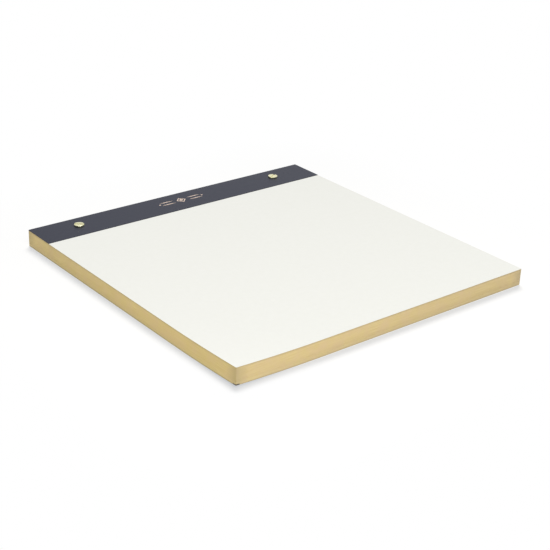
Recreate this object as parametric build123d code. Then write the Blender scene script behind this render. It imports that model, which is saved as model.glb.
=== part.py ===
"""Square desk notepad: a block of sheets on a backing board, with a thin strip
across its head, held together by two brass binding posts and slotted screws.

Millimetres. +X runs along the head, +Y points to the head, +Z is up, and the
origin is the middle of the underside."""

import os
from math import sqrt

from build123d import *

# Pad: sheets and board are trimmed together, so they share one outline
pad_width = 254.0
pad_length = 254.0
corner_radius = 0.6
sheet_count = 100
sheet_thickness = 0.1
board_thickness = 2.5

# Curl: handling has lifted the front left corner of the whole pad, in a gentle arc
# that starts at a line across the corner, this far from it along the diagonal
curl_rise = 1.8
curl_reach = 50.0

# Strip: one thin layer on top of the sheets, trimmed with them at the head
strip_depth = 30.0
strip_thickness = 0.3

# Places of the two posts, measured between them and from the head edge
post_spacing = 184.0
post_inset = 13.5

# Post: a barrel with a flat head, pushed up from below and tapped at its top
barrel_wall = 0.7
barrel_end_chamfer = 0.2
head_overhang = 1.3
post_head_height = 0.9
post_head_edge_radius = 0.2
post_head_recess = 0.2
bore_floor = 1.0
take_up = 0.8

# Screw: a slotted flat head with upright sides, on a shank that fills the bore
shank_diameter = 3.5
shank_tip_chamfer = 0.4
thread_engagement_share = 0.7
screw_head_height = 1.2
screw_head_edge_radius = 0.15
slot_width = 1.2
slot_depth = 0.6
slot_angles = (-36.0, 31.0)

# Fits between pieces, each taken all round
hole_clearance = 0.1
seat_clearance = 0.2
thread_clearance = 0.05

# How far a cutting shape runs past what it cuts
overrun = 1.0

# Sizes and levels that follow from those above
curl_radius = (curl_reach**2 + curl_rise**2) / (2 * curl_rise)
span_past_pad = pad_width + pad_length
bore_diameter = shank_diameter + 2 * thread_clearance
barrel_diameter = bore_diameter + 2 * barrel_wall
hole_diameter = barrel_diameter + 2 * hole_clearance
head_diameter = barrel_diameter + 2 * head_overhang
seat_diameter = head_diameter + 2 * seat_clearance
sheet_top = board_thickness + sheet_count * sheet_thickness
strip_top = sheet_top + strip_thickness
screw_head_top = strip_top + screw_head_height
post_head_top = post_head_recess + post_head_height
bore_bottom = post_head_top + bore_floor
barrel_top = strip_top - take_up
shank_tip = barrel_top - thread_engagement_share * (barrel_top - bore_bottom)


def at_each_post(piece):
    """Copies of a piece on the axes of the left and the right post."""
    y = pad_length / 2 - post_inset
    return [Pos(x, y) * piece for x in (-post_spacing / 2, post_spacing / 2)]


def pad_outline():
    """The trimmed outline that sheets and board share, its corners only just blunted."""
    return RectangleRounded(pad_width, pad_length, corner_radius)


def layer(outline, bottom, top):
    """One flat layer of the stack between two levels."""
    return Pos(0, 0, bottom) * extrude(outline, top - bottom)


def curled_line(level):
    """One level of the stack along the corner's diagonal: flat, then an arc up past the corner."""
    radius = curl_radius - level
    tip_x = -overrun
    tip_z = curl_radius - sqrt(radius**2 - (curl_reach - tip_x) ** 2)
    flat = Line((span_past_pad, level), (curl_reach, level))
    return flat + TangentArc(flat @ 1, (tip_x, tip_z), tangent=flat % 1)


def curled_layer(outline, bottom, top):
    """One layer of the stack that follows the curl. Sheets slip, so its edges stay upright."""
    low = curled_line(bottom)
    high = curled_line(top)
    ends = [Line(low @ 0, high @ 0), Line(low @ 1, high @ 1)]
    section = make_face([*low.edges(), *high.edges(), *ends])
    corner = Plane(origin=(-pad_width / 2, -pad_length / 2), x_dir=(1, 1), z_dir=(1, -1))
    slab = extrude(corner * section, span_past_pad, both=True)
    return slab & layer(outline, -overrun, top + curl_rise + overrun)


def drilled(stack_layer, diameter, top):
    """A layer drilled from below on both post axes, up to a level."""
    drill = layer(Circle(diameter / 2), -overrun, top)
    return stack_layer - at_each_post(drill)


def page_block():
    """All the sheets together, with the post holes drilled right through."""
    block = curled_layer(pad_outline(), board_thickness, sheet_top)
    return drilled(block, hole_diameter, sheet_top + overrun)


def backing_board():
    """The stiff board, drilled with the sheets and counterbored for the post heads."""
    board = curled_layer(pad_outline(), 0, board_thickness)
    board = drilled(board, hole_diameter, board_thickness + overrun)
    return drilled(board, seat_diameter, post_head_top)


def header_strip():
    """The strip over the head, with the pad's own corners at its two ends."""
    band = Pos(0, (pad_length - strip_depth) / 2) * Rectangle(pad_width, strip_depth)
    strip = layer(pad_outline() & band, sheet_top, strip_top)
    return drilled(strip, hole_diameter, strip_top + overrun)


def turned(*half_section):
    """A turned piece, from the radius and height of each corner of half its section."""
    section = make_face(Polyline(*half_section, close=True))
    return revolve(Plane.XZ * section, Axis.Z)


def binding_post():
    """A flat-headed barrel with a blind bore, its end bevelled inside and out."""
    post = turned(
        (0, post_head_recess),
        (head_diameter / 2, post_head_recess),
        (head_diameter / 2, post_head_top),
        (barrel_diameter / 2, post_head_top),
        (barrel_diameter / 2, barrel_top),
        (bore_diameter / 2, barrel_top),
        (bore_diameter / 2, bore_bottom),
        (0, bore_bottom),
    )
    post = chamfer(post.edges().group_by(Axis.Z)[-1], barrel_end_chamfer)
    return fillet(post.edges().group_by(Axis.Z)[0], post_head_edge_radius)


def binding_screw(slot_angle):
    """A screw with an upright flat head, its driver slot turned to one angle."""
    screw = turned(
        (0, shank_tip),
        (shank_diameter / 2, shank_tip),
        (shank_diameter / 2, strip_top),
        (head_diameter / 2, strip_top),
        (head_diameter / 2, screw_head_top),
        (0, screw_head_top),
    )
    screw = chamfer(screw.edges().group_by(Axis.Z)[0], shank_tip_chamfer)
    screw = fillet(screw.edges().group_by(Axis.Z)[-1], screw_head_edge_radius)
    slot = Rectangle(head_diameter + overrun, slot_width, rotation=slot_angle)
    return screw - layer(slot, screw_head_top - slot_depth, screw_head_top + overrun)


def binding_screws():
    """Both screws, each stopped with its slot at an angle of its own."""
    left_angle, right_angle = slot_angles
    left_screw, _ = at_each_post(binding_screw(left_angle))
    _, right_screw = at_each_post(binding_screw(right_angle))
    return Compound([left_screw, right_screw])


pieces = {
    "page_block": page_block(),
    "backing_board": backing_board(),
    "header_strip": header_strip(),
    "binding_posts": Compound(at_each_post(binding_post())),
    "binding_screws": binding_screws(),
}

os.makedirs("parts", exist_ok=True)
for node, shape in pieces.items():
    export_step(shape, f"parts/{node}.step")
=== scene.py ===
"""Looks of a square desk notepad.

A block of gilt-edged sheets lies on a greyboard back. A dark strip of cover stock crosses its
head, and two brass binding posts with slotted screws hold the pad together. A small foil
ornament is stamped on the strip. Lengths are in metres, in the frame of the packed model:
+X along the head, +Y to the head, +Z up."""

import math
import random
from functools import partial

import bmesh
import bpy
from mathutils import Matrix, Vector


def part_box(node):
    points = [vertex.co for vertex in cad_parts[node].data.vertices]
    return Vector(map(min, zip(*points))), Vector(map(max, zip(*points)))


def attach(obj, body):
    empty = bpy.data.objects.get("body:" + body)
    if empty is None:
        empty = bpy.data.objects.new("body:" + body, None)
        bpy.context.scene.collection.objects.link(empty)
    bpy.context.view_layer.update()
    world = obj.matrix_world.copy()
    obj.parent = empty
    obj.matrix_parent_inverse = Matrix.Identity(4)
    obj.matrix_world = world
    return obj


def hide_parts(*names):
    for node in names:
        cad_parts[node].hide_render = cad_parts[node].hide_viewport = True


bl_info = {
    "name": "Gilt-edged notepad",
    "version": (1, 0, 0),
    "blender": (4, 5, 0),
    "location": "3D View > Sidebar > Notepad",
    "description": "Builds the sheets, board, strip, brass hardware and foil of a desk notepad",
    "category": "Object",
}

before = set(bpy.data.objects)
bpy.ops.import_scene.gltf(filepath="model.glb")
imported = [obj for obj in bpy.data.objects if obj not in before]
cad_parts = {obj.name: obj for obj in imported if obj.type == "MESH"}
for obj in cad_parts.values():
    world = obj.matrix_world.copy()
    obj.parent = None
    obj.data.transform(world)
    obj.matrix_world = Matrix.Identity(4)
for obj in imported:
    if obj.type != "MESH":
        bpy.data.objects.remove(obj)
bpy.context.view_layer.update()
MM = 0.001

# Places read from the packed model
page_low, page_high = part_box("page_block")
board_low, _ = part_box("backing_board")
strip_low, strip_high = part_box("header_strip")
screw_low, screw_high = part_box("binding_screws")
post_low, post_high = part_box("binding_posts")
HALF_WIDTH = page_high.x
HALF_LENGTH = page_high.y
BOARD_BOTTOM = board_low.z
BOARD_TOP = page_low.z
SHEET_TOP = strip_low.z
STRIP_TOP = strip_high.z
STRIP_FRONT = strip_low.y
HEAD_RADIUS = (screw_high.y - screw_low.y) / 2
POST_X = screw_high.x - HEAD_RADIUS
POST_Y = (screw_low.y + screw_high.y) / 2
POSTS = (Vector((-POST_X, POST_Y)), Vector((POST_X, POST_Y)))
NO_SHIFT = Vector((0, 0))

# Fineness of the meshes
CORNER_STEPS = 4
PAD_STEPS = 36
STRIP_STEPS_ALONG = 160
STRIP_STEPS_ACROSS = 24
TURNED_SEGMENTS = 96
FILLET_STEPS = 6
RULE_STEPS = 12
DOT_STEPS = 24
SMOOTH_UNDER = math.radians(30)
SHEET_SEED = 7

# Which of a slab's materials its faces take
ABOVE, BELOW, EDGE = range(3)

# Map that an export bakes the sheets through: a band for each side, and over the bands the upper
# and the lower face. Sizes and places are shares of the map's side
BAKE_MAP = "OFBake"
FRONT_BAND, RIGHT_BAND, BACK_BAND, LEFT_BAND = range(4)
MAP_GAP = 0.004
MAP_BAND = 0.1
MAP_UPPER = 0.58
MAP_LOWER = 0.38
MAP_FACES_START = MAP_BAND * 4 + MAP_GAP
MAP_LOWER_START = MAP_UPPER + MAP_GAP * 3

# How much painted shade darkens the gilt at each place, as a share; at the top edge the gilt is only made
# darker
FRONT_FOOT_GRIME = 0.5
SIDE_FOOT_GRIME = 1.0
TOP_GRIME = 0.7
UPRIGHT_GRIME = 0.6
FAR_GRIME = 0.3

# Share of the dark board-coloured patch at the foot of the front left corner that is fully dark
RUB_CORE = 0.6

# Inner edge of the lozenge's frame and size of its heart, as shares of the lozenge
FRAME_SHARE = 0.76
HEART_SHARE = 0.42

# A wave texture turns this many radians in one unit of its scaled coordinates
WAVE_RADIANS = 20.0


def linear(hex_colour):
    """Red, green and blue in linear light from an sRGB hex colour."""
    channels = [int(hex_colour[place:place + 2], 16) / 255 for place in (0, 2, 4)]
    return tuple(c / 12.92 if c <= 0.04045 else ((c + 0.055) / 1.055) ** 2.4 for c in channels)


def length(name, description, millimetres):
    """A length that a user can set, with its default in millimetres."""
    return bpy.props.FloatProperty(
        name=name, description=description, default=millimetres * MM,
        min=0.0, precision=5, subtype="DISTANCE", unit="LENGTH")


def angle(name, description, degrees):
    """An angle that a user can set, with its default in degrees."""
    return bpy.props.FloatProperty(
        name=name, description=description, default=math.radians(degrees),
        subtype="ANGLE", unit="ROTATION")


def colour(name, description, hex_colour):
    """A colour that a user can set, with its default as sRGB hex."""
    return bpy.props.FloatVectorProperty(
        name=name, description=description, default=linear(hex_colour),
        size=3, min=0.0, max=1.0, subtype="COLOR")


def number(name, description, default, least=0.0, unit="NONE"):
    """A plain number that a user can set."""
    return bpy.props.FloatProperty(
        name=name, description=description, default=default, min=least, unit=unit)


def place(name, description, default):
    """A point in metres that a user can set."""
    return bpy.props.FloatVectorProperty(
        name=name, description=description, default=default,
        size=3, subtype="TRANSLATION", unit="LENGTH")


def direction(name, description, default):
    """A direction that a user can set."""
    return bpy.props.FloatVectorProperty(
        name=name, description=description, default=default, size=3, subtype="XYZ")


class PadSizes(bpy.types.PropertyGroup):
    """Sizes of the paper and board that the packed model's boxes don't give."""

    sheet_count: bpy.props.IntProperty(
        name="Sheets", description="Number of sheets in the block", default=100, min=2)
    corner_radius: length("Corner radius", "Rounding of the pad's corners in plan", 0.6)
    curl_rise: length("Curl rise", "Height that the front left corner has lifted", 1.8)
    curl_reach: length("Curl reach", "Length of the lifted stretch along the diagonal", 50.0)
    sheet_gap: length("Sheet gap", "Height of the hairline groove between two sheets", 0.016)
    groove_depth: length("Groove depth", "Depth of the hairline groove between two sheets", 0.03)
    sheet_drift: length("Sheet drift", "Most that one sheet stands out from the next", 0.02)
    board_edge: length("Board edge", "Softened edge of the backing board", 0.15)
    strip_edge: length("Strip edge", "Softened upper edge of the strip", 0.06)
    strip_press: length("Strip press", "Depth that the screw heads press into the strip", 0.08)
    press_reach: length("Press reach", "Width of the pressed ring round a screw head", 3.5)
    # Painted shade darkens the gilt along its foot and either side of its upright edges; along the top
    # edge the gilt is only made darker
    grime_height: length("Grime height", "Height of the dulled gilt along the bottom edge", 1.4)
    wear_height: length("Wear height", "Height of the dulled gilt along the top edge", 1.6)
    grime_reach: length("Grime reach", "Stretch of dulled gilt either side of an upright edge", 10.0)
    # A dark patch of board colour, without metal, at the foot of the front left corner
    rub_reach: length("Rub reach", "Stretch of bare board either side of the front left corner", 3.4)
    rub_height: length("Rub height", "Height of the bare board at the front left corner", 1.1)
    hole_diameter: length("Hole diameter", "Hole for a post in the board, sheets and strip", 5.2)
    seat_diameter: length("Seat diameter", "Seat for a post's head under the board", 8.0)


class BrassSizes(bpy.types.PropertyGroup):
    """Sizes of the binding posts and screws."""

    barrel_diameter: length("Barrel diameter", "Outside of a post's barrel", 5.0)
    bore_diameter: length("Bore diameter", "Threaded bore of a post", 3.6)
    bore_floor: length("Bore floor", "Solid metal between a post's head and its bore", 1.0)
    barrel_chamfer: length("Barrel chamfer", "Chamfer at a barrel's mouth", 0.2)
    post_head_height: length("Post head height", "Thickness of a post's head", 0.9)
    post_edge: length("Post edge", "Rounding of a post's head", 0.2)
    shank_diameter: length("Shank diameter", "Outside of a screw's thread", 3.5)
    shank_chamfer: length("Shank chamfer", "Chamfer at a screw's tip", 0.4)
    screw_edge: length("Screw edge", "Rounding of a screw head's upper edge", 0.15)
    slot_width: length("Slot width", "Width of the driver slot", 1.2)
    slot_depth: length("Slot depth", "Depth of the driver slot", 0.6)
    slot_angle_left: angle("Left slot", "Turn of the left screw's slot from +X", -36.0)
    slot_angle_right: angle("Right slot", "Turn of the right screw's slot from +X", 31.0)


class OrnamentSizes(bpy.types.PropertyGroup):
    """Sizes of the foil ornament on the strip."""

    span: length("Span", "Width of the whole ornament", 41.0)
    foil_height: length("Foil height", "Thickness of the stamped foil", 0.02)
    lozenge_width: length("Lozenge width", "Width of the lozenge in the middle", 8.4)
    lozenge_height: length("Lozenge height", "Height of the lozenge in the middle", 8.4)
    rule_length: length("Rule length", "Length of the tapered rules either side", 12.5)
    rule_width: length("Rule width", "Width of a tapered rule at its middle", 1.0)
    rule_gap: length("Rule gap", "Distance between the two rules of a pair", 4.4)
    dot_diameter: length("Dot diameter", "Dot at the outer end of each pair of rules", 1.5)


class PadColours(bpy.types.PropertyGroup):
    """Colours of the pad's materials."""

    paper: colour("Paper", "Writing sheets", "F5F5EF")
    paper_cloud: colour("Paper cloud", "Thicker clouds in the sheet", "F1F1EA")
    gilt: colour("Gilt", "Gold leaf on the trimmed edges", "EDDAA5")
    gilt_thin: colour("Thin gilt", "Gold leaf where it is rubbed thin", "E3CE96")
    gilt_red: colour("Red gilt", "Patches of redder gold leaf", "E8D2A4")
    # Painted shade: multiplied over the left and right edges, so that they are darker and yellower than
    # the front
    gilt_side: colour("Side gilt", "Tint over the gold leaf of the left and right edges", "F7F6E7")
    # Painted shade: the darker gilt that the foot, the upright edges, the far ends and the top band are
    # mixed towards
    gilt_grimy: colour("Grimy gilt", "Gold leaf dulled by handling", "C2B18C")
    greyboard: colour("Greyboard", "Backing board", "A09B92")
    fleck: colour("Fleck", "Darker fibres in the backing board", "6E6860")
    navy: colour("Navy", "Strip across the head", "1B2033")
    navy_worn: colour("Worn navy", "Strip where its surface is open", "232637")
    brass: colour("Brass", "Posts and screws", "E6E4BE")
    brass_dull: colour("Dull brass", "Brass where it has tarnished", "C6B57E")
    foil: colour("Foil", "Stamped ornament", "CCB8A8")
    foil_worn: colour("Worn foil", "Stamped ornament where the foil is broken", "8C7C74")


class StageSettings(bpy.types.PropertyGroup):
    """Camera, floor and light."""

    azimuth: angle("Azimuth", "Turn of the camera round the pad", -39.52)
    elevation: angle("Elevation", "Height of the camera above the horizon", 25.18)
    roll: angle("Roll", "Turn of the camera about its own axis", 2.23)
    distance: length("Distance", "Distance from the camera to the point that it looks at", 901.4)
    aim: place("Aim", "Point that the camera looks at", (-7.9 * MM, -15.5 * MM, 0.0))
    lens: number(
        "Lens", "Focal length in millimetres on a 36 mm sensor", 82.52, least=1.0, unit="CAMERA")
    floor: colour("Floor", "Studio floor", "B6B3AE")
    glow_tint: colour("Glow tint", "Colour of the light that the floor adds", "F8FBFF")
    floor_glow: number("Floor glow", "Light that the floor adds where it is seen", 0.588)
    glow_start: length(
        "Glow start", "Distance outside the pad where the floor begins to turn plain white", 15.0)
    glow_end: length("Glow end", "Distance outside the pad where the floor is plain white", 100.0)
    # Painted light on the floor round the front left corner, which shortens the pad's shadow there
    fade_start: length(
        "Fade start", "Distance outside the front left corner where its shadow begins to fade", 0.8)
    fade_end: length("Fade end", "Distance outside the front left corner where its shadow is gone", 6.8)
    fade_reach: length("Fade reach", "Stretch round the front left corner where the shadow fades", 100.0)
    under_reach: length(
        "Under reach", "Distance within which the floor lights the underside of the pad", 3.0)
    floor_size: length("Floor size", "Side of the studio floor", 6000.0)
    floor_drop: length("Floor drop", "Gap between the pad and the floor", 0.05)
    fill: number("Fill", "Strength of the light from all round", 0.15)
    bright_side: direction(
        "Bright side", "Direction in which the mirrored studio is brightest", (0.966, -0.259, 0.0))
    dim_side: number("Dim side", "Strength of the mirrored studio on its far side", 0.35)
    key_strength: number("Key strength", "Strength of the soft light from above", 2.38)
    key_spread: angle("Key spread", "Width of the soft light from above, seen from the pad", 26.0)
    key_from: direction("Key direction", "Direction that the soft light comes from", (0.36, 0.46, 1.0))
    front_power: number("Front power", "Power of the front softbox", 3.0, unit="POWER")
    front_size: length("Front size", "Side of the front softbox", 700.0)
    front_place: place("Front place", "Middle of the front softbox", (-0.25, -0.65, 0.85))


# Shapes shared by several pieces

def corner_offsets(radius):
    """Distances past the start of a rounded corner, at even steps of the arc's angle."""
    return [radius * math.tan(math.pi / 4 * step / CORNER_STEPS) for step in range(1, CORNER_STEPS + 1)]


def grid_lines(low, high, steps, low_radius, high_radius):
    """Places from low to high: even steps, with the steps of a rounded corner at either end."""
    start = low + low_radius
    stop = high - high_radius
    lines = [start - offset for offset in reversed(corner_offsets(low_radius)) if offset > 0]
    lines += [start + (stop - start) * step / steps for step in range(steps + 1)]
    lines += [stop + offset for offset in corner_offsets(high_radius) if offset > 0]
    return lines


def trimmed(x, y, radius):
    """A point of a square-cornered plan, drawn in so that the corners follow the pad's arcs."""
    past_x = max(abs(x) - (HALF_WIDTH - radius), 0.0)
    past_y = max(abs(y) - (HALF_LENGTH - radius), 0.0)
    reach = math.hypot(past_x, past_y)
    if reach == 0:
        return Vector((x, y))
    pull = 1 - max(past_x, past_y) / reach
    return Vector((x - math.copysign(past_x * pull, x), y - math.copysign(past_y * pull, y)))


def curled(point, level, pad):
    """Height of a layer's point. Past the curl's start all layers bend about one axis."""
    along = (point.x + HALF_WIDTH + point.y + HALF_LENGTH) / math.sqrt(2)
    past = pad.curl_reach - along
    if past <= 0:
        return level
    radius = (pad.curl_reach ** 2 + pad.curl_rise ** 2) / (2 * pad.curl_rise)
    return radius - math.sqrt((radius - level) ** 2 - past ** 2)


def ring_quads(lower, upper):
    """Corners of each face between two closed rings of as many points."""
    return zip(lower, lower[1:] + lower[:1], upper[1:] + upper[:1], upper)


def circle(centre, radius, steps):
    """Points round a circle in plan, anticlockwise from the right."""
    turns = [math.tau * step / steps for step in range(steps)]
    return [
        Vector((centre.x + radius * math.cos(turn), centre.y + radius * math.sin(turn))) for turn in turns]


def slab_mesh(name, lines_x, lines_y, radius, rings, height):
    """A thick layer: a gridded face below and above, and rings stacked round its edge.

    Each ring gives its level, how far it lies in from the edge and its shift in plan. Each point
    keeps its level in the flat stack, for the gilt."""
    columns = len(lines_x)
    rows = len(lines_y)
    plan = [trimmed(x, y, radius) for y in lines_y for x in lines_x]
    edge = list(range(columns))
    edge += [row * columns + columns - 1 for row in range(1, rows)]
    edge += [(rows - 1) * columns + column for column in range(columns - 2, -1, -1)]
    edge += [row * columns for row in range(rows - 2, 0, -1)]
    outward = {}
    for step, index in enumerate(edge):
        run = plan[edge[(step + 1) % len(edge)]] - plan[edge[step - 1]]
        outward[index] = Vector((run.y, -run.x)).normalized()

    vertices = []
    levels = []

    def add_points(indices, ring):
        first = len(vertices)
        level, inset, shift = ring
        levels.extend([level] * len(indices))
        for index in indices:
            point = plan[index] + shift - outward.get(index, NO_SHIFT) * inset
            vertices.append((point.x, point.y, height(point, level)))
        return first

    everything = range(len(plan))
    below = add_points(everything, rings[0])
    above = add_points(everything, rings[-1])
    loops = [[below + index for index in edge]]
    for ring in rings[1:-1]:
        first = add_points(edge, ring)
        loops.append(list(range(first, first + len(edge))))
    loops.append([above + index for index in edge])

    faces = []
    materials = []
    for row in range(rows - 1):
        for column in range(columns - 1):
            corner = row * columns + column
            quad = (corner, corner + 1, corner + columns + 1, corner + columns)
            faces.append([above + index for index in quad])
            faces.append([below + index for index in reversed(quad)])
            materials += [ABOVE, BELOW]
    for lower, upper in zip(loops, loops[1:]):
        faces += ring_quads(lower, upper)
        materials += [EDGE] * len(edge)

    mesh = bpy.data.meshes.new(name)
    mesh.from_pydata(vertices, [], faces)
    mesh.polygons.foreach_set("material_index", materials)
    mesh.attributes.new("level", "FLOAT", "POINT").data.foreach_set("value", levels)
    return mesh


def pad_slab(name, rings, pad):
    """A slab with the outline of the whole pad, curled at the front left corner."""
    return slab_mesh(
        name,
        grid_lines(-HALF_WIDTH, HALF_WIDTH, PAD_STEPS, pad.corner_radius, pad.corner_radius),
        grid_lines(-HALF_LENGTH, HALF_LENGTH, PAD_STEPS, pad.corner_radius, pad.corner_radius),
        pad.corner_radius, rings, lambda point, level: curled(point, level, pad))


def lay_out_sheets(mesh):
    """Lays the sheets out on their bake map. All the sheet edges of one side share a band, because
    islands of their own would be too thin for the map's pixels."""
    levels = mesh.attributes["level"].data
    corners = []
    for face in mesh.polygons:
        sideways = abs(face.normal.x) > abs(face.normal.y)
        if sideways:
            band = RIGHT_BAND if face.normal.x > 0 else LEFT_BAND
        else:
            band = FRONT_BAND if face.normal.y < 0 else BACK_BAND
        for index in face.vertices:
            point = mesh.vertices[index].co
            across = (point.x / HALF_WIDTH + 1) / 2
            along = (point.y / HALF_LENGTH + 1) / 2
            if face.material_index == ABOVE:
                corners += (MAP_GAP + across * MAP_UPPER, MAP_FACES_START + along * MAP_UPPER)
            elif face.material_index == BELOW:
                corners += (MAP_LOWER_START + across * MAP_LOWER, MAP_FACES_START + along * MAP_LOWER)
            else:
                run = along if sideways else across
                rise = (levels[index].value - BOARD_TOP) / (SHEET_TOP - BOARD_TOP)
                corners += (
                    MAP_GAP + run * (1 - MAP_GAP * 2),
                    MAP_BAND * band + MAP_GAP + rise * (MAP_BAND - MAP_GAP * 2))
    mesh.uv_layers.new(name=BAKE_MAP).uv.foreach_set("vector", corners)


def turned_mesh(name, half_section, centres):
    """Turned pieces, one at each centre: a half section of (radius, height) points, from the
    bottom of the axis to its top, swept round."""
    mesh = bpy.data.meshes.new(name)
    shape = bmesh.new()
    for centre in centres:
        rings = []
        for radius, height in half_section:
            if radius == 0:
                rings.append([shape.verts.new((*centre, height))] * TURNED_SEGMENTS)
                continue
            points = circle(centre, radius, TURNED_SEGMENTS)
            rings.append([shape.verts.new((*point, height)) for point in points])
        for lower, upper in zip(rings, rings[1:]):
            for corners in ring_quads(lower, upper):
                # On the axis two corners are one point, and the face is a triangle
                shape.faces.new(list(dict.fromkeys(corners)))
    shape.to_mesh(mesh)
    shape.free()
    return mesh


def rounded_corner(radius, height, fillet, upper):
    """Half-section points of a rounded outer edge, in the order of a section drawn upwards."""
    points = []
    for step in range(FILLET_STEPS + 1):
        turn = math.pi / 2 * step / FILLET_STEPS
        if upper:
            across, rise = math.cos(turn), math.sin(turn) - 1
        else:
            across, rise = math.sin(turn), 1 - math.cos(turn)
        points.append((radius - fillet + fillet * across, height + fillet * rise))
    return points


def edge_rings(level, fillet, upper):
    """Rings that round a slab's edge at a level."""
    return [(height, -across, NO_SHIFT) for across, height in rounded_corner(0, level, fillet, upper)]


def place_piece(name, mesh, nodes, materials):
    """Puts a mesh in the scene on the pad's one body, in place of its packed nodes."""
    piece = bpy.data.objects.new(name, mesh)
    bpy.context.collection.objects.link(piece)
    for material in materials:
        mesh.materials.append(material)
    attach(piece, "root")
    if nodes:
        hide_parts(*nodes)
    return piece


def cut_away(piece, cutter_mesh):
    """Cuts a mesh out of a piece and keeps the result as the piece's own mesh."""
    cutter = bpy.data.objects.new("cutter", cutter_mesh)
    bpy.context.collection.objects.link(cutter)
    modifier = piece.modifiers.new("cut", "BOOLEAN")
    modifier.operation = "DIFFERENCE"
    modifier.solver = "EXACT"
    modifier.object = cutter
    bpy.context.view_layer.update()
    evaluated = piece.evaluated_get(bpy.context.evaluated_depsgraph_get())
    cut = bpy.data.meshes.new_from_object(evaluated)
    piece.modifiers.clear()
    whole = piece.data
    piece.data = cut
    cut.name = whole.name
    bpy.data.meshes.remove(whole)
    bpy.data.objects.remove(cutter)
    bpy.data.meshes.remove(cutter_mesh)


def shade_smooth(piece):
    """Smooth shading over gentle turns, with sharp edges kept sharp."""
    piece.data.shade_smooth()
    piece.data.set_sharp_from_angle(angle=SMOOTH_UNDER)


# Materials

def add_node(tree, kind, inputs=None, **settings):
    """Adds one node with its settings, and sets or links its inputs, by number or by name.

    A node given as an input stands for the first of its outputs that is in use."""
    node = tree.nodes.new(kind)
    for name, value in settings.items():
        setattr(node, name, value)
    in_use = {socket.name: socket for socket in node.inputs if socket.enabled}
    for name, value in (inputs or {}).items():
        socket = node.inputs[name] if isinstance(name, int) else in_use[name]
        if isinstance(value, bpy.types.Node):
            value = next(output for output in value.outputs if output.enabled)
        if isinstance(value, bpy.types.NodeSocket):
            tree.links.new(value, socket)
        elif socket.type == "RGBA":
            socket.default_value = (*value, 1.0)
        else:
            socket.default_value = value
    return node


def new_material(name):
    """An empty node material, what adds a node to it, and its object coordinates in metres."""
    material = bpy.data.materials.new(name)
    material.use_nodes = True
    material.node_tree.nodes.clear()
    node = partial(add_node, material.node_tree)
    return material, node, node("ShaderNodeTexCoord").outputs["Object"]


def finish_material(node, inputs):
    """Closes a material with its surface shader."""
    shader = node("ShaderNodeBsdfPrincipled", inputs)
    node("ShaderNodeOutputMaterial", {"Surface": shader})


def per_metre(millimetres):
    """Texture scale that gives a pattern of that real size."""
    return 1 / (millimetres * MM)


def shared(name, maker):
    """A material by name, made on first use."""
    return bpy.data.materials.get(name) or maker(name)


def wove_paper(name):
    """Uncoated wove paper: soft, quite matt, with faint clouds and a fine felt of fibres."""
    colours = bpy.context.scene.notepad_colours
    material, node, position = new_material(name)
    clouds = node("ShaderNodeTexNoise", {
        "Vector": position, "Scale": per_metre(4.0), "Detail": 3.0, "Roughness": 0.6})
    # Fibres are about 0.03 mm wide, drawn ten times coarser so that they show
    fibres = node("ShaderNodeTexNoise", {
        "Vector": position, "Scale": per_metre(0.3), "Detail": 4.0, "Roughness": 0.65})
    tint = node("ShaderNodeMix", {
        "Factor": clouds, "A": colours.paper, "B": colours.paper_cloud}, data_type="RGBA")
    felt = node("ShaderNodeBump", {"Strength": 0.25, "Distance": 0.02 * MM, "Height": fibres})
    finish_material(node, {"Base Color": tint, "Roughness": 0.9, "IOR": 1.45, "Normal": felt})
    return material


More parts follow.
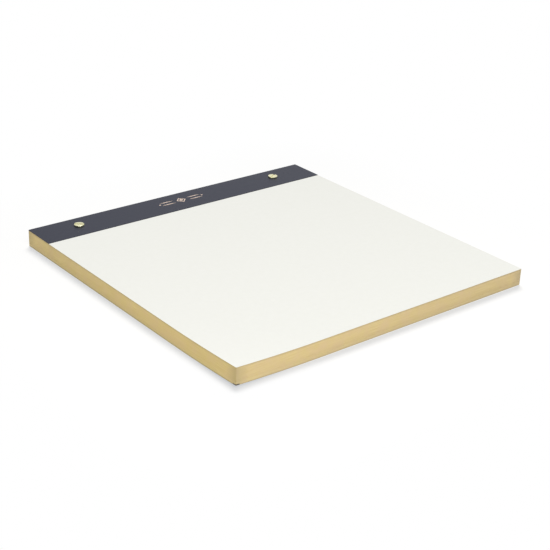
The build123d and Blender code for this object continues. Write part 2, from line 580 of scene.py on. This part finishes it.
def burnished_gilt(name):
    """Gold leaf burnished on trimmed edges: a satin metal with level streaks, a little thin here
    and there, with painted shade at the foot, the upright edges, the far ends and the left and right
    sides, darker towards the top edge, and board colour at the foot of the front left corner."""
    colours = bpy.context.scene.notepad_colours
    pad = bpy.context.scene.notepad_pad
    material, node, position = new_material(name)
    # Streaks run level along the edge, some 25 mm long and a few sheets high
    along = node("ShaderNodeVectorMath", {
        0: position, 1: (per_metre(25.0), per_metre(25.0), per_metre(0.35))}, operation="MULTIPLY")
    streaks = node("ShaderNodeTexNoise", {"Vector": along, "Scale": 1.0, "Detail": 4.0, "Roughness": 0.6})
    thin = node("ShaderNodeMapRange", {"Value": streaks, "From Min": 0.35, "From Max": 0.65})
    streaked = node("ShaderNodeMix", {
        "Factor": thin, "A": colours.gilt, "B": colours.gilt_thin}, data_type="RGBA")
    # The leaf is laid in patches some 9 mm across, a little redder here and there
    patches = node("ShaderNodeTexNoise", {
        "Vector": position, "Scale": per_metre(9.0), "Detail": 2.0, "Roughness": 0.5})
    redder = node("ShaderNodeMapRange", {"Value": patches, "From Min": 0.4, "From Max": 0.65})
    leaf_tint = node("ShaderNodeMix", {
        "Factor": redder, "A": streaked, "B": colours.gilt_red}, data_type="RGBA")
    # Painted shade: the left and right edges are tinted darker and yellower than the front, and their foot
    # shade is stronger
    outward_normal = node("ShaderNodeTexCoord").outputs["Normal"]
    turned_by = node("ShaderNodeVectorMath", {0: outward_normal}, operation="ABSOLUTE")
    sideways = node("ShaderNodeVectorMath", {0: turned_by, 1: (1.0, 0.0, 0.0)}, operation="DOT_PRODUCT")
    foot_grime = node("ShaderNodeMapRange", {
        "Value": sideways, "To Min": FRONT_FOOT_GRIME, "To Max": SIDE_FOOT_GRIME})
    level = node("ShaderNodeAttribute", attribute_name="level").outputs["Fac"]
    # Painted shade darkens the foot of each side
    bottom = node("ShaderNodeMapRange", {
        "Value": level, "From Min": BOARD_BOTTOM, "From Max": BOARD_BOTTOM + pad.grime_height,
        "To Min": foot_grime, "To Max": 0.0})
    # The gilt is made darker towards the top edge
    top = node("ShaderNodeMapRange", {
        "Value": level, "From Min": SHEET_TOP - pad.wear_height, "From Max": SHEET_TOP,
        "To Min": 0.0, "To Max": TOP_GRIME})
    level_edges = node("ShaderNodeMath", {0: bottom, 1: top}, operation="MAXIMUM")
    # Painted shade either side of the upright edges. On a side, the sum of both distances from the middle
    # is greatest at its upright edges
    spread = node("ShaderNodeVectorMath", {0: position}, operation="ABSOLUTE")
    outward = node("ShaderNodeVectorMath", {0: spread, 1: (1.0, 1.0, 0.0)}, operation="DOT_PRODUCT")
    corner = HALF_WIDTH + HALF_LENGTH
    upright = node("ShaderNodeMapRange", {
        "Value": outward, "From Min": corner - pad.grime_reach, "From Max": corner,
        "To Min": 0.0, "To Max": UPRIGHT_GRIME})
    edges = node("ShaderNodeMath", {0: level_edges, 1: upright}, operation="MAXIMUM")
    # Painted shade: the leaf is brightest near the front left corner. From a quarter of a side away it is
    # painted darker, up to a whole side away
    plan = node("ShaderNodeVectorMath", {0: position, 1: (1.0, 1.0, 0.0)}, operation="MULTIPLY")
    away = node("ShaderNodeVectorMath", {
        0: plan, 1: (-HALF_WIDTH, -HALF_LENGTH, 0.0)}, operation="DISTANCE")
    faded = node("ShaderNodeMapRange", {
        "Value": away, "From Min": HALF_WIDTH / 2, "From Max": HALF_WIDTH * 2,
        "To Min": 0.0, "To Max": FAR_GRIME})
    # The painted shade and the darker top band together mix the leaf towards the darker gilt
    grime = node("ShaderNodeMath", {0: edges, 1: faded}, operation="ADD")
    dull_tint = node("ShaderNodeMix", {
        "Factor": grime, "A": leaf_tint, "B": colours.gilt_grimy}, data_type="RGBA")
    # Painted shade: the left and right sides are multiplied darker and yellower
    side_tint = node("ShaderNodeMix", {
        "Factor": sideways, "A": dull_tint, "B": colours.gilt_side},
        data_type="RGBA", blend_type="MULTIPLY")
    # Board colour without metal, a dark patch, where both the way to the corner and the level are small
    near = node("ShaderNodeMapRange", {
        "Value": away, "From Min": pad.rub_reach * RUB_CORE, "From Max": pad.rub_reach,
        "To Min": 1.0, "To Max": 0.0})
    low = node("ShaderNodeMapRange", {
        "Value": level, "From Min": BOARD_BOTTOM + pad.rub_height * RUB_CORE,
        "From Max": BOARD_BOTTOM + pad.rub_height, "To Min": 1.0, "To Max": 0.0})
    bare = node("ShaderNodeMath", {0: near, 1: low}, operation="MULTIPLY")
    tint = node("ShaderNodeMix", {"Factor": bare, "A": side_tint, "B": colours.fleck}, data_type="RGBA")
    metal = node("ShaderNodeMath", {0: 1.0, 1: bare}, operation="SUBTRACT")
    gloss = node("ShaderNodeMapRange", {
        "Value": streaks, "From Min": 0.3, "From Max": 0.7, "To Min": 0.46, "To Max": 0.56})
    leaf_relief = node("ShaderNodeBump", {"Strength": 0.2, "Distance": 0.02 * MM, "Height": streaks})
    finish_material(node, {
        "Base Color": tint, "Metallic": metal, "Roughness": gloss, "Normal": leaf_relief})
    return material


def pressed_greyboard(name):
    """Board pressed from waste paper: dull grey, with darker fibres and a rough felt."""
    colours = bpy.context.scene.notepad_colours
    material, node, position = new_material(name)
    clouds = node("ShaderNodeTexNoise", {
        "Vector": position, "Scale": per_metre(6.0), "Detail": 5.0, "Roughness": 0.6})
    # Fibre bundles are about 1 mm long and lie every way
    fibres = node("ShaderNodeTexNoise", {
        "Vector": position, "Scale": per_metre(1.2), "Detail": 5.0, "Roughness": 0.7, "Distortion": 1.5})
    flecks = node("ShaderNodeMapRange", {
        "Value": fibres, "From Min": 0.56, "From Max": 0.72, "To Min": 0.0, "To Max": 0.7})
    shade = node("ShaderNodeMapRange", {
        "Value": clouds, "From Min": 0.3, "From Max": 0.7, "To Min": 0.0, "To Max": 0.25})
    amount = node("ShaderNodeMath", {0: flecks, 1: shade}, operation="MAXIMUM")
    tint = node("ShaderNodeMix", {
        "Factor": amount, "A": colours.greyboard, "B": colours.fleck}, data_type="RGBA")
    felt = node("ShaderNodeBump", {"Strength": 0.5, "Distance": 0.06 * MM, "Height": fibres})
    finish_material(node, {"Base Color": tint, "Roughness": 0.95, "IOR": 1.45, "Normal": felt})
    return material


def navy_cover_stock(name):
    """Dyed cover paper, calendered smooth: nearly black navy under a pale sheen at low angles."""
    colours = bpy.context.scene.notepad_colours
    material, node, position = new_material(name)
    clouds = node("ShaderNodeTexNoise", {
        "Vector": position, "Scale": per_metre(5.0), "Detail": 4.0, "Roughness": 0.6})
    # Calendered grain is about 0.1 mm, drawn four times coarser so that it shows
    grain = node("ShaderNodeTexNoise", {
        "Vector": position, "Scale": per_metre(0.4), "Detail": 3.0, "Roughness": 0.6})
    tint = node("ShaderNodeMix", {
        "Factor": clouds, "A": colours.navy, "B": colours.navy_worn}, data_type="RGBA")
    gloss = node("ShaderNodeMapRange", {
        "Value": clouds, "From Min": 0.3, "From Max": 0.7, "To Min": 0.36, "To Max": 0.44})
    felt = node("ShaderNodeBump", {"Strength": 0.2, "Distance": 0.02 * MM, "Height": grain})
    finish_material(node, {
        "Base Color": tint, "Roughness": gloss, "IOR": 1.45, "Specular IOR Level": 0.195, "Normal": felt})
    return material


def turned_brass(name):
    """Pale brass turned on a lathe: bright, with fine rings round each axis and a little tarnish."""
    colours = bpy.context.scene.notepad_colours
    material, node, position = new_material(name)
    parts = node("ShaderNodeSeparateXYZ", {"Vector": position})
    # Both posts are folded onto one axis, so that each has rings round its own middle
    side = node("ShaderNodeMath", {0: parts.outputs["X"]}, operation="ABSOLUTE")
    across = node("ShaderNodeMath", {0: side, 1: POST_X}, operation="SUBTRACT")
    away = node("ShaderNodeMath", {0: parts.outputs["Y"], 1: POST_Y}, operation="SUBTRACT")
    flat = node("ShaderNodeCombineXYZ", {"X": across, "Y": away})
    # Tool marks are about 0.05 mm apart, drawn some twelve times coarser so that they show
    marks = node("ShaderNodeTexWave", {
        "Vector": flat, "Scale": per_metre(0.592) * math.tau / WAVE_RADIANS, "Distortion": 0.4,
        "Detail": 2.0}, wave_type="RINGS", rings_direction="SPHERICAL")
    tarnish = node("ShaderNodeTexNoise", {
        "Vector": position, "Scale": per_metre(1.5), "Detail": 4.0, "Roughness": 0.6})
    dull = node("ShaderNodeMapRange", {
        "Value": tarnish, "From Min": 0.5, "From Max": 0.75, "To Min": 0.0, "To Max": 0.6})
    tint = node("ShaderNodeMix", {
        "Factor": dull, "A": colours.brass, "B": colours.brass_dull}, data_type="RGBA")
    gloss = node("ShaderNodeMapRange", {
        "Value": tarnish, "From Min": 0.3, "From Max": 0.7, "To Min": 0.2, "To Max": 0.32})
    rings = node("ShaderNodeBump", {
        "Strength": 0.12, "Distance": 0.01 * MM, "Height": marks.outputs["Fac"]})
    finish_material(node, {"Base Color": tint, "Metallic": 1.0, "Roughness": gloss, "Normal": rings})
    return material


def stamped_foil(name):
    """Rose-gold foil stamped hot into the strip: metal as smooth as the paper under it, with
    pinholes where it didn't take."""
    colours = bpy.context.scene.notepad_colours
    material, node, position = new_material(name)
    breaks = node("ShaderNodeTexNoise", {
        "Vector": position, "Scale": per_metre(0.5), "Detail": 4.0, "Roughness": 0.7})
    worn = node("ShaderNodeMapRange", {
        "Value": breaks, "From Min": 0.55, "From Max": 0.7, "To Min": 0.0, "To Max": 0.8})
    tint = node("ShaderNodeMix", {
        "Factor": worn, "A": colours.foil, "B": colours.foil_worn}, data_type="RGBA")
    gloss = node("ShaderNodeMapRange", {
        "Value": breaks, "From Min": 0.3, "From Max": 0.7, "To Min": 0.28, "To Max": 0.45})
    felt = node("ShaderNodeBump", {"Strength": 0.2, "Distance": 0.01 * MM, "Height": breaks})
    finish_material(node, {"Base Color": tint, "Metallic": 1.0, "Roughness": gloss, "Normal": felt})
    return material


def seen_rays(node):
    """One for rays from the camera, also through gloss or glass, and zero once they have spread."""
    path = node("ShaderNodeLightPath")
    direct = node("ShaderNodeMath", {
        0: path.outputs["Is Camera Ray"], 1: path.outputs["Is Glossy Ray"]}, operation="MAXIMUM")
    every = node("ShaderNodeMath", {
        0: direct, 1: path.outputs["Is Transmission Ray"]}, operation="MAXIMUM")
    # A depth is a whole number, so the test stands half way between none and one
    sharp = node("ShaderNodeMath", {0: path.outputs["Diffuse Depth"], 1: 0.5}, operation="LESS_THAN")
    return node("ShaderNodeMath", {0: every, 1: sharp}, operation="MULTIPLY")


def studio_floor(name):
    """Matt studio floor. Where it is seen it adds a glow that brings it to white, and the pad's
    shadow stays, shortened by painted light at the front left corner. Far from the pad it is plain
    white. From below it is clear, and its upper side lights the board that lies on it."""
    stage = bpy.context.scene.notepad_stage
    material, node, position = new_material(name)
    material.cycles.emission_sampling = "NONE"
    seen = seen_rays(node)
    # Rays that the board's underside spreads find light on the floor just below it, so that the
    # underside isn't black when it is seen through the floor
    path = node("ShaderNodeLightPath")
    close = node("ShaderNodeMath", {
        0: path.outputs["Ray Length"], 1: stage.under_reach}, operation="LESS_THAN")
    spread_once = node("ShaderNodeMath", {
        0: path.outputs["Diffuse Depth"], 1: 1.0, 2: 0.5}, operation="COMPARE")
    under = node("ShaderNodeMath", {0: close, 1: spread_once}, operation="MULTIPLY")
    strength = node("ShaderNodeMath", {0: seen, 1: stage.floor_glow, 2: under}, operation="MULTIPLY_ADD")
    paint = node("ShaderNodeBsdfDiffuse", {"Color": stage.floor})
    glow = node("ShaderNodeEmission", {"Color": stage.glow_tint, "Strength": strength})
    lit = node("ShaderNodeAddShader", {0: paint, 1: glow})
    # Distance outside the pad's outline
    spread = node("ShaderNodeVectorMath", {0: position}, operation="ABSOLUTE")
    past = node("ShaderNodeVectorMath", {
        0: spread, 1: (HALF_WIDTH, HALF_LENGTH, 0.0)}, operation="SUBTRACT")
    outside = node("ShaderNodeVectorMath", {0: past}, operation="MAXIMUM")
    away = node("ShaderNodeVectorMath", {0: outside}, operation="LENGTH")
    far = node("ShaderNodeMapRange", {
        "Value": away, "From Min": stage.glow_start, "From Max": stage.glow_end})
    # Painted light: near the lifted corner the floor is painted whiter, so that its shadow is as short as
    # that of the edges
    faint = node("ShaderNodeMapRange", {
        "Value": away, "From Min": stage.fade_start, "From Max": stage.fade_end})
    from_corner = node("ShaderNodeVectorMath", {
        0: position, 1: (-HALF_WIDTH, -HALF_LENGTH, BOARD_BOTTOM)}, operation="DISTANCE")
    at_corner = node("ShaderNodeMapRange", {
        "Value": from_corner, "From Min": 0.0, "From Max": stage.fade_reach,
        "To Min": 1.0, "To Max": 0.0}, interpolation_type="SMOOTHSTEP")
    short = node("ShaderNodeMath", {0: faint, 1: at_corner}, operation="MULTIPLY")
    plain = node("ShaderNodeMath", {0: far, 1: short}, operation="MAXIMUM")
    plain_seen = node("ShaderNodeMath", {0: plain, 1: seen}, operation="MULTIPLY")
    white = node("ShaderNodeEmission", {"Strength": 1.0})
    above = node("ShaderNodeMixShader", {0: plain_seen, 1: lit, 2: white})
    clear = node("ShaderNodeBsdfTransparent")
    facing = node("ShaderNodeNewGeometry")
    surface = node("ShaderNodeMixShader", {0: facing.outputs["Backfacing"], 1: above, 2: clear})
    node("ShaderNodeOutputMaterial", {"Surface": surface})
    return material


# Pieces

def post_holes(name, diameter, low, high):
    """Cutters for the holes that the posts pass through."""
    radius = diameter / 2
    return turned_mesh(name, [(0, low), (radius, low), (radius, high), (0, high)], POSTS)


class NOTEPAD_OT_page_block(bpy.types.Operator):
    """Builds the block of sheets, each with its own edge, curled at the front left corner"""

    bl_idname = "notepad.page_block"
    bl_label = "Page block"

    def execute(self, context):
        pad = context.scene.notepad_pad
        drift = random.Random(SHEET_SEED)
        thickness = (SHEET_TOP - BOARD_TOP) / pad.sheet_count
        rings = []
        for sheet in range(pad.sheet_count):
            low = BOARD_TOP + thickness * sheet
            high = low + thickness
            shift = Vector((drift.uniform(-1, 1), drift.uniform(-1, 1))) * pad.sheet_drift / 2
            if sheet > 0:
                rings.append((low, pad.groove_depth, NO_SHIFT))
                low += pad.sheet_gap / 2
            if sheet < pad.sheet_count - 1:
                high -= pad.sheet_gap / 2
            rings.append((low, pad.sheet_drift / 2, shift))
            rings.append((high, pad.sheet_drift / 2, shift))
        mesh = pad_slab("page_block", rings, pad)
        lay_out_sheets(mesh)
        paper = shared("uncoated_wove_paper", wove_paper)
        gilt = shared("gold_leaf_burnished", burnished_gilt)
        piece = place_piece("sheets", mesh, ["page_block"], [paper, paper, gilt])
        cut_away(piece, post_holes("page_holes", pad.hole_diameter, BOARD_BOTTOM, STRIP_TOP))
        shade_smooth(piece)
        return {"FINISHED"}


class NOTEPAD_OT_backing_board(bpy.types.Operator):
    """Builds the backing board, with gilt edges and seats for the post heads"""

    bl_idname = "notepad.backing_board"
    bl_label = "Backing board"

    def execute(self, context):
        pad = context.scene.notepad_pad
        rings = edge_rings(BOARD_BOTTOM, pad.board_edge, upper=False)
        rings.append((BOARD_TOP, 0.0, NO_SHIFT))
        mesh = pad_slab("backing_board", rings, pad)
        board = shared("greyboard_pressed", pressed_greyboard)
        gilt = shared("gold_leaf_burnished", burnished_gilt)
        piece = place_piece("board", mesh, ["backing_board"], [board, board, gilt])
        seat_floor = post_low.z + context.scene.notepad_brass.post_head_height
        overrun = SHEET_TOP - BOARD_TOP
        seat = pad.seat_diameter / 2
        hole = pad.hole_diameter / 2
        cut_away(piece, turned_mesh("board_holes", [
            (0, BOARD_BOTTOM - overrun), (seat, BOARD_BOTTOM - overrun), (seat, seat_floor),
            (hole, seat_floor), (hole, BOARD_TOP + overrun), (0, BOARD_TOP + overrun)], POSTS))
        shade_smooth(piece)
        return {"FINISHED"}


class NOTEPAD_OT_header_strip(bpy.types.Operator):
    """Builds the strip across the head, pressed in a little round the screw heads"""

    bl_idname = "notepad.header_strip"
    bl_label = "Header strip"

    def execute(self, context):
        pad = context.scene.notepad_pad

        def pressed(point, level):
            if level == SHEET_TOP:
                return level
            near = min((point - post).length for post in POSTS) - HEAD_RADIUS
            share = min(max(1 - near / pad.press_reach, 0.0), 1.0)
            # The cubic starts and ends level, so the ring has no crease
            return level - pad.strip_press * share * share * (3 - 2 * share)

        rings = [(SHEET_TOP, 0.0, NO_SHIFT)]
        rings += edge_rings(STRIP_TOP, pad.strip_edge, upper=True)
        mesh = slab_mesh(
            "header_strip",
            grid_lines(-HALF_WIDTH, HALF_WIDTH, STRIP_STEPS_ALONG, pad.corner_radius, pad.corner_radius),
            grid_lines(STRIP_FRONT, HALF_LENGTH, STRIP_STEPS_ACROSS, 0.0, pad.corner_radius),
            pad.corner_radius, rings, pressed)
        stock = shared("navy_cover_paper_calendered", navy_cover_stock)
        piece = place_piece("strip", mesh, ["header_strip"], [stock, stock, stock])
        cut_away(piece, post_holes("strip_holes", pad.hole_diameter, BOARD_TOP, screw_high.z))
        shade_smooth(piece)
        return {"FINISHED"}


class NOTEPAD_OT_binding_posts(bpy.types.Operator):
    """Turns the two hollow binding posts, with their heads sunk in the board"""

    bl_idname = "notepad.binding_posts"
    bl_label = "Binding posts"

    def execute(self, context):
        sizes = context.scene.notepad_brass
        head_top = post_low.z + sizes.post_head_height
        bore_bottom = head_top + sizes.bore_floor
        barrel = sizes.barrel_diameter / 2
        bore = sizes.bore_diameter / 2
        section = [(0, post_low.z)]
        section += rounded_corner(HEAD_RADIUS, post_low.z, sizes.post_edge, upper=False)
        section += [
            (HEAD_RADIUS, head_top), (barrel, head_top),
            (barrel, post_high.z - sizes.barrel_chamfer),
            (barrel - sizes.barrel_chamfer, post_high.z),
            (bore, post_high.z), (bore, bore_bottom), (0, bore_bottom)]
        brass = shared("brass_turned", turned_brass)
        mesh = turned_mesh("binding_posts", section, POSTS)
        shade_smooth(place_piece("posts", mesh, ["binding_posts"], [brass]))
        return {"FINISHED"}


class NOTEPAD_OT_binding_screws(bpy.types.Operator):
    """Turns the two slotted screws that close the posts"""

    bl_idname = "notepad.binding_screws"
    bl_label = "Binding screws"

    def execute(self, context):
        sizes = context.scene.notepad_brass
        shank = sizes.shank_diameter / 2
        section = [
            (0, screw_low.z), (shank - sizes.shank_chamfer, screw_low.z),
            (shank, screw_low.z + sizes.shank_chamfer), (shank, STRIP_TOP), (HEAD_RADIUS, STRIP_TOP)]
        section += rounded_corner(HEAD_RADIUS, screw_high.z, sizes.screw_edge, upper=True)
        section.append((0, screw_high.z))
        brass = shared("brass_turned", turned_brass)
        mesh = turned_mesh("binding_screws", section, POSTS)
        piece = place_piece("screws", mesh, ["binding_screws"], [brass])

        # Each cutter is longer than the head is wide, and its lower half is in the head
        cutter_size = Matrix.Diagonal((HEAD_RADIUS * 3, sizes.slot_width, sizes.slot_depth * 2, 1))
        slots = bmesh.new()
        turns = (sizes.slot_angle_left, sizes.slot_angle_right)
        for post, turn in zip(POSTS, turns):
            on_head = Matrix.Translation((post.x, post.y, screw_high.z))
            turned = Matrix.Rotation(turn, 4, "Z")
            bmesh.ops.create_cube(slots, size=1.0, matrix=on_head @ turned @ cutter_size)
        cutter = bpy.data.meshes.new("slots")
        slots.to_mesh(cutter)
        slots.free()
        cut_away(piece, cutter)
        shade_smooth(piece)
        return {"FINISHED"}


def lozenge(width, height):
    """Corners of a lozenge, anticlockwise from the right."""
    corners = ((width, 0), (0, height), (-width, 0), (0, -height))
    return [Vector(corner) / 2 for corner in corners]


def tapered_rule(middle, rule_length, rule_width):
    """Outline of a level rule that swells from its points to its middle."""
    under = []
    for step in range(RULE_STEPS + 1):
        share = step / RULE_STEPS
        swell = math.sin(math.pi * share)
        under.append(Vector(((share - 0.5) * rule_length, -rule_width / 2 * swell)))
    over = [Vector((point.x, -point.y)) for point in reversed(under[1:-1])]
    return [middle + point for point in under + over]


def add_foil(shape, outline, low, high, inner=None):
    """Adds one stamped shape, or a frame if an inner outline of as many points is given."""

    def ring(points, height):
        return [shape.verts.new((*point, height)) for point in points]

    def join(start, end):
        for corners in ring_quads(start, end):
            shape.faces.new(corners)

    bottom = ring(outline, low)
    top = ring(outline, high)
    join(bottom, top)
    if inner:
        inner_bottom = ring(inner, low)
        inner_top = ring(inner, high)
        join(top, inner_top)
        join(inner_top, inner_bottom)
        join(inner_bottom, bottom)
    else:
        shape.faces.new(top)
        shape.faces.new(reversed(bottom))


class NOTEPAD_OT_foil_ornament(bpy.types.Operator):
    """Stamps the foil ornament on the strip: a framed lozenge between two pairs of tapered rules"""

    bl_idname = "notepad.foil_ornament"
    bl_label = "Foil ornament"

    def execute(self, context):
        sizes = context.scene.notepad_ornament
        middle = Vector((0, POST_Y))
        shape = bmesh.new()

        def stamp(outline, inner=()):
            add_foil(
                shape, [middle + point for point in outline], STRIP_TOP, STRIP_TOP + sizes.foil_height,
                [middle + point for point in inner])

        wide = sizes.lozenge_width
        tall = sizes.lozenge_height
        stamp(lozenge(wide, tall), lozenge(wide * FRAME_SHARE, tall * FRAME_SHARE))
        stamp(lozenge(wide * HEART_SHARE, tall * HEART_SHARE))

        for side in (1, -1):
            outer = side * (sizes.span - sizes.dot_diameter) / 2
            stamp(circle(Vector((outer, 0)), sizes.dot_diameter / 2, DOT_STEPS))
            along = side * (sizes.span - sizes.rule_length) / 2 - side * sizes.dot_diameter
            for across in (sizes.rule_gap / 2, -sizes.rule_gap / 2):
                stamp(tapered_rule(Vector((along, across)), sizes.rule_length, sizes.rule_width))

        mesh = bpy.data.meshes.new("foil_ornament")
        shape.to_mesh(mesh)
        shape.free()
        foil = shared("rose_gold_foil_stamped", stamped_foil)
        place_piece("foil_ornament", mesh, [], [foil])
        return {"FINISHED"}


def add_floor(scene, stage):
    """Lays the floor just under the pad."""
    half = stage.floor_size / 2
    level = BOARD_BOTTOM - stage.floor_drop
    mesh = bpy.data.meshes.new("floor")
    mesh.from_pydata(
        [(-half, -half, level), (half, -half, level), (half, half, level), (-half, half, level)],
        [], [(0, 1, 2, 3)])
    mesh.materials.append(shared("studio_floor", studio_floor))
    floor = bpy.data.objects.new("floor", mesh)
    scene.collection.objects.link(floor)


def add_lamps(scene, stage):
    """Hangs the soft light from above and the front softbox, both turned to the pad."""
    key = bpy.data.lights.new("key", "SUN")
    key.energy = stage.key_strength
    key.angle = stage.key_spread
    softbox = bpy.data.lights.new("front", "AREA")
    softbox.shape = "SQUARE"
    softbox.size = stage.front_size
    softbox.energy = stage.front_power
    for light, spot in ((key, Vector(stage.key_from)), (softbox, Vector(stage.front_place))):
        lamp = bpy.data.objects.new(light.name, light)
        lamp.location = spot
        lamp.rotation_euler = spot.to_track_quat("Z", "Y").to_euler()
        scene.collection.objects.link(lamp)


def add_surroundings(scene, stage):
    """Surrounds the pad with a little even light. Metal mirrors a studio that is brighter on one
    side, and the camera sees plain white."""
    world = bpy.data.worlds.new("studio")
    world.use_nodes = True
    world.cycles.sampling_method = "NONE"
    world.node_tree.nodes.clear()
    node = partial(add_node, world.node_tree)
    ray = node("ShaderNodeTexCoord").outputs["Generated"]
    facing = node("ShaderNodeVectorMath", {
        0: ray, 1: Vector(stage.bright_side).normalized()}, operation="DOT_PRODUCT")
    mirrored = node("ShaderNodeMapRange", {
        "Value": facing, "From Min": -1.0, "From Max": 1.0, "To Min": stage.dim_side, "To Max": 1.0})
    path = node("ShaderNodeLightPath")
    plain = node("ShaderNodeMix", {"Factor": path.outputs["Is Camera Ray"], "A": mirrored, "B": 1.0})
    strength = node("ShaderNodeMix", {"Factor": seen_rays(node), "A": stage.fill, "B": plain})
    sky = node("ShaderNodeBackground", {"Color": (1.0, 1.0, 1.0), "Strength": strength})
    node("ShaderNodeOutputWorld", {"Surface": sky})
    scene.world = world


def add_camera(scene, stage):
    """Sets the camera up, a little rolled, with its eye on the pad."""
    back = Vector((
        math.sin(stage.azimuth) * math.cos(stage.elevation),
        -math.cos(stage.azimuth) * math.cos(stage.elevation),
        math.sin(stage.elevation)))
    level_right = Vector((math.cos(stage.azimuth), math.sin(stage.azimuth), 0.0))
    right = Matrix.Rotation(stage.roll, 3, back) @ level_right
    up = back.cross(right)
    camera_data = bpy.data.cameras.new("camera")
    camera_data.lens = stage.lens
    camera = bpy.data.objects.new("camera", camera_data)
    axes = Matrix((right, up, back)).transposed().to_4x4()
    camera.matrix_world = Matrix.Translation(Vector(stage.aim) + back * stage.distance) @ axes
    scene.collection.objects.link(camera)
    scene.camera = camera


class NOTEPAD_OT_stage(bpy.types.Operator):
    """Sets the floor, the light and the camera"""

    bl_idname = "notepad.stage"
    bl_label = "Stage"

    def execute(self, context):
        scene = context.scene
        for add_part in (add_floor, add_lamps, add_surroundings, add_camera):
            add_part(scene, scene.notepad_stage)
        scene.view_settings.view_transform = "Standard"
        return {"FINISHED"}


class NOTEPAD_PT_panel(bpy.types.Panel):
    """Sizes, colours and pieces of the notepad"""

    bl_idname = "NOTEPAD_PT_panel"
    bl_label = "Notepad"
    bl_space_type = "VIEW_3D"
    bl_region_type = "UI"
    bl_category = "Notepad"

    def draw(self, context):
        for name, group in SETTINGS.items():
            box = self.layout.box()
            box.label(text=group.__doc__)
            for field in group.__annotations__:
                box.prop(getattr(context.scene, name), field)
        for operator in OPERATORS:
            self.layout.operator(operator.bl_idname)


SETTINGS = {
    "notepad_pad": PadSizes,
    "notepad_brass": BrassSizes,
    "notepad_ornament": OrnamentSizes,
    "notepad_colours": PadColours,
    "notepad_stage": StageSettings,
}
OPERATORS = (
    NOTEPAD_OT_backing_board,
    NOTEPAD_OT_page_block,
    NOTEPAD_OT_header_strip,
    NOTEPAD_OT_binding_posts,
    NOTEPAD_OT_binding_screws,
    NOTEPAD_OT_foil_ornament,
    NOTEPAD_OT_stage,
)


def register():
    for name, group in SETTINGS.items():
        bpy.utils.register_class(group)
        setattr(bpy.types.Scene, name, bpy.props.PointerProperty(type=group))
    for operator in OPERATORS:
        bpy.utils.register_class(operator)
    bpy.utils.register_class(NOTEPAD_PT_panel)


def unregister():
    bpy.utils.unregister_class(NOTEPAD_PT_panel)
    for operator in reversed(OPERATORS):
        bpy.utils.unregister_class(operator)
    for name, group in reversed(SETTINGS.items()):
        delattr(bpy.types.Scene, name)
        bpy.utils.unregister_class(group)


def main():
    register()
    bpy.ops.notepad.backing_board()
    bpy.ops.notepad.page_block()
    bpy.ops.notepad.header_strip()
    bpy.ops.notepad.binding_posts()
    bpy.ops.notepad.binding_screws()
    bpy.ops.notepad.foil_ornament()
    bpy.ops.notepad.stage()


if __name__ == "__main__":
    main()
